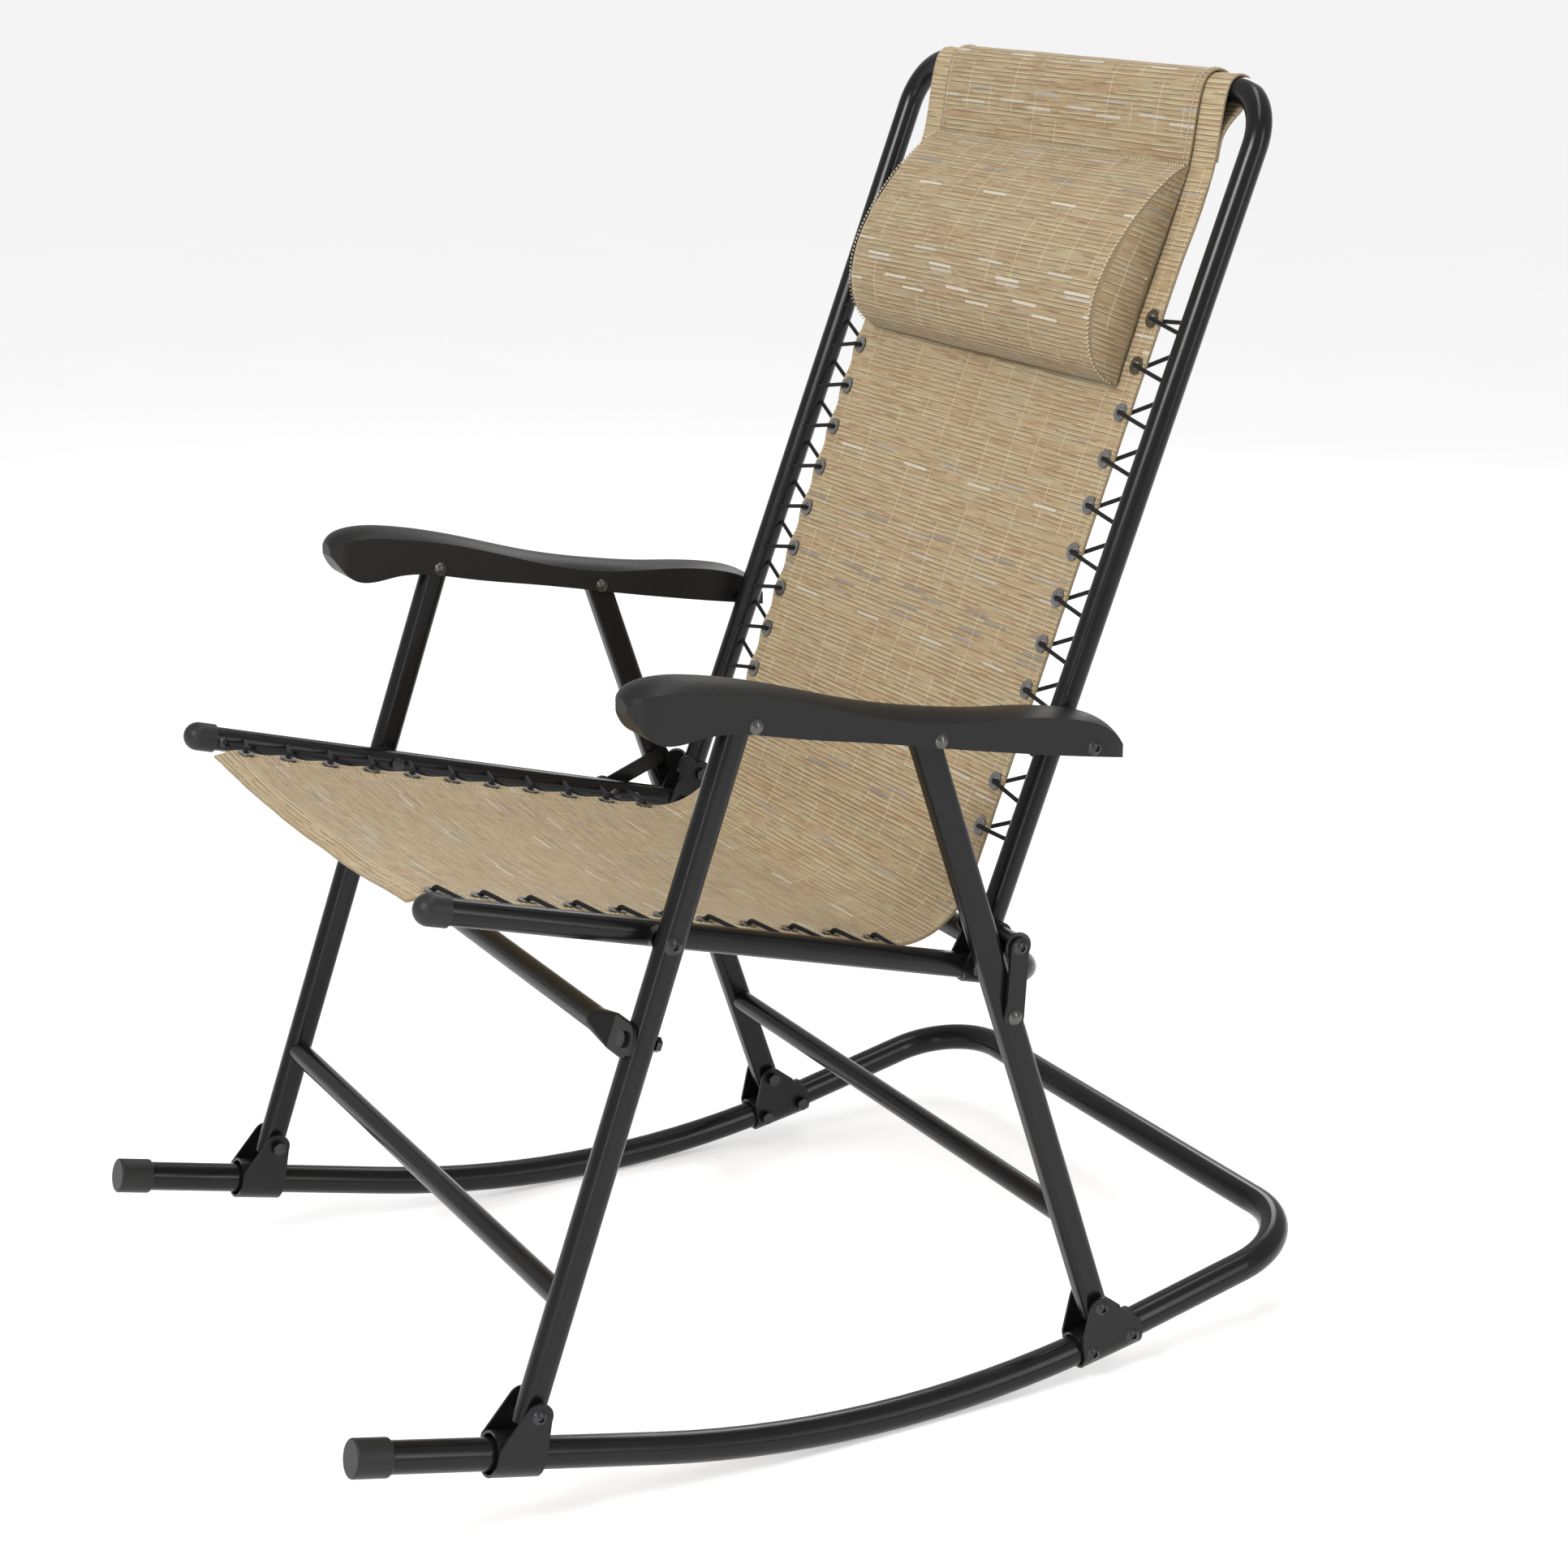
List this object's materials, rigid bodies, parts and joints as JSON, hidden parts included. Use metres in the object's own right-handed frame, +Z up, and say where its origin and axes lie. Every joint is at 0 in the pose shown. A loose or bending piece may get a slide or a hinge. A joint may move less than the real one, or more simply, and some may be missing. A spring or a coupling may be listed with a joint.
{
  "type": "folding rocking chair",
  "caption": "Folding sling rocking chair: bent steel runners, oval tube legs, moulded armrests, laced fabric seat and back, padded headrest.",
  "frame": {"origin": "on the floor under the middle of the chair's bounding box", "axes": "the sitter faces -Y, +X is the sitter's left, +Z is up"},
  "size_m": [0.6474, 0.9182, 1.0808],
  "materials": {
    "tube_steel": "satin black powder coat",
    "sheet_steel": "satin black powder coat",
    "fasteners": "black oxide",
    "armrest_plastic": "fine-grained matte moulding",
    "plastic_caps": "matte moulding",
    "sling_fabric": "coated mesh weave with slub yarns",
    "headrest_fabric": "coated mesh weave, padded",
    "eyelets": "gunmetal",
    "elastic_cord": "braided elastic"
  },
  "bodies": {
    "rocker": {"rocker_frame": "tube_steel", "runner_cap_left": "plastic_caps", "runner_cap_right": "plastic_caps", "rear_bracket_left": "sheet_steel", "rear_bracket_right": "sheet_steel", "rear_bracket_bolts": "fasteners"},
    "front_shoes": {"front_bracket_left": "sheet_steel", "front_bracket_right": "sheet_steel", "front_bracket_bolts": "fasteners"},
    "front_legs": {"front_leg_left": "tube_steel", "front_leg_right": "tube_steel", "front_crossbar_lower": "tube_steel", "front_crossbar_upper": "tube_steel", "front_crossbar_bolts": "fasteners", "seat_pivot_bolts": "fasteners", "seat_pivot_spacers": "plastic_caps"},
    "rear_legs": {"rear_leg_left": "tube_steel", "rear_leg_right": "tube_steel", "rear_crossbar": "tube_steel", "link_rivets": "fasteners", "link_washers": "fasteners", "latch_rivet": "fasteners", "latch_washer": "fasteners"},
    "links": {"link_bar_left": "sheet_steel", "link_bar_right": "sheet_steel", "link_top_bolts": "fasteners"},
    "latch": {"latch_bar": "sheet_steel", "latch_knob": "plastic_caps"},
    "armrests": {"armrest_left": "armrest_plastic", "armrest_right": "armrest_plastic", "armrest_rivets": "fasteners", "armrest_rear_bolts": "fasteners"},
    "seat": {"seat_frame": "tube_steel", "seat_cap_left": "plastic_caps", "seat_cap_right": "plastic_caps", "seat_bracket_left": "sheet_steel", "seat_bracket_right": "sheet_steel", "seat_bracket_bolts": "fasteners", "back_hinge_bolts": "fasteners", "back_hinge_spacers": "plastic_caps", "back_stop": "plastic_caps", "latch_stud": "fasteners", "lace_screws": "fasteners", "seat_sling": "sling_fabric", "seat_eyelets": "eyelets", "seat_lace_left": "elastic_cord", "seat_lace_right": "elastic_cord"},
    "back": {"back_frame": "tube_steel", "back_sling": "sling_fabric", "back_eyelets": "eyelets", "back_lace_left": "elastic_cord", "back_lace_right": "elastic_cord", "headrest": "headrest_fabric"}
  },
  "joints": [
    {"name": "fold", "type": "hinge", "parent": "front_shoes", "child": "front_legs", "pos_m": [0, -0.309, 0.105], "axis": [1, 0, 0], "range_deg": [0, 45.87]},
    {"name": "front_bracket_slide", "type": "hinge", "parent": "rocker", "child": "front_shoes", "pos_m": [0, 0.13531, 1.69967], "axis": [1, 0, 0], "range_deg": [0, 10.18]},
    {"name": "armrest_front_pivot", "type": "hinge", "parent": "front_legs", "child": "armrests", "pos_m": [0, -0.1255, 0.631], "axis": [1, 0, 0], "range_deg": [-63.41, 0]},
    {"name": "seat_front_pivot", "type": "hinge", "parent": "front_legs", "child": "seat", "pos_m": [0, -0.186, 0.463], "axis": [1, 0, 0], "range_deg": [-61.32, 0]},
    {"name": "back_hinge", "type": "hinge", "parent": "seat", "child": "back", "pos_m": [0, 0.1225, 0.409], "axis": [1, 0, 0], "range_deg": [0, 65.69]},
    {"name": "rear_leg_pivot", "type": "hinge", "parent": "rocker", "child": "rear_legs", "pos_m": [0, 0.2135, 0.0675], "axis": [1, 0, 0], "range_deg": [0, 29.14]},
    {"name": "link_pivot", "type": "hinge", "parent": "rear_legs", "child": "links", "pos_m": [0, 0.119, 0.35], "axis": [1, 0, 0], "range_deg": [-112.52, 0]},
    {"name": "latch_pivot", "type": "hinge", "parent": "rear_legs", "child": "latch", "pos_m": [0, 0.095, 0.425], "axis": [1, 0, 0], "range_deg": [0, 60]}
  ],
  "couplings": [
    {"joint": "front_bracket_slide", "follows": "fold", "ratio": 0.22082},
    {"joint": "armrest_front_pivot", "follows": "fold", "ratio": -1.3812},
    {"joint": "seat_front_pivot", "follows": "fold", "ratio": -1.3358},
    {"joint": "back_hinge", "follows": "fold", "ratio": 1.4309},
    {"joint": "rear_leg_pivot", "follows": "fold", "ratio": 0.63408},
    {"joint": "link_pivot", "follows": "fold", "ratio": -2.452}
  ]
}
